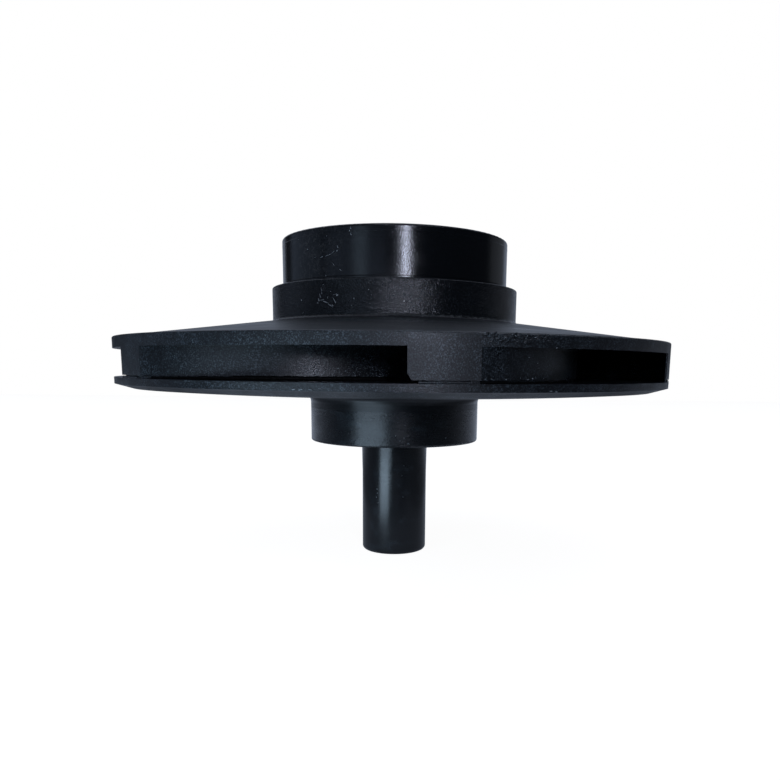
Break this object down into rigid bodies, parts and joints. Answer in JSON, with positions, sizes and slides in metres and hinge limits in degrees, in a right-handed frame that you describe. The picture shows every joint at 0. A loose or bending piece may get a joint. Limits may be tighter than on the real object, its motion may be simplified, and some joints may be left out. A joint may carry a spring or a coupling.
{
  "type": "pump impeller",
  "caption": "Closed centrifugal pump impeller with a stepped eye ring, backward-swept vanes between two shrouds, and a hub with a long sleeve and a threaded brass insert",
  "frame": {"origin": "centre of the shaft bore at the sleeve's end face, which the part stands on", "axes": "+Z along the shaft axis, from the motor side towards the eye; the first vane's trailing edge lies 3 degrees from -Y towards +X"},
  "size_m": [0.127, 0.127, 0.0739],
  "materials": {
    "shroud_plastic": "black glass-filled plastic, satin, with fine pale speckle",
    "plate_plastic": "black glass-filled plastic, satin, smoother on the hub and sleeve",
    "insert_brass": "machined brass"
  },
  "bodies": {
    "root": {"front_shroud": "shroud_plastic", "back_plate": "plate_plastic", "threaded_insert": "insert_brass"}
  },
  "joints": []
}
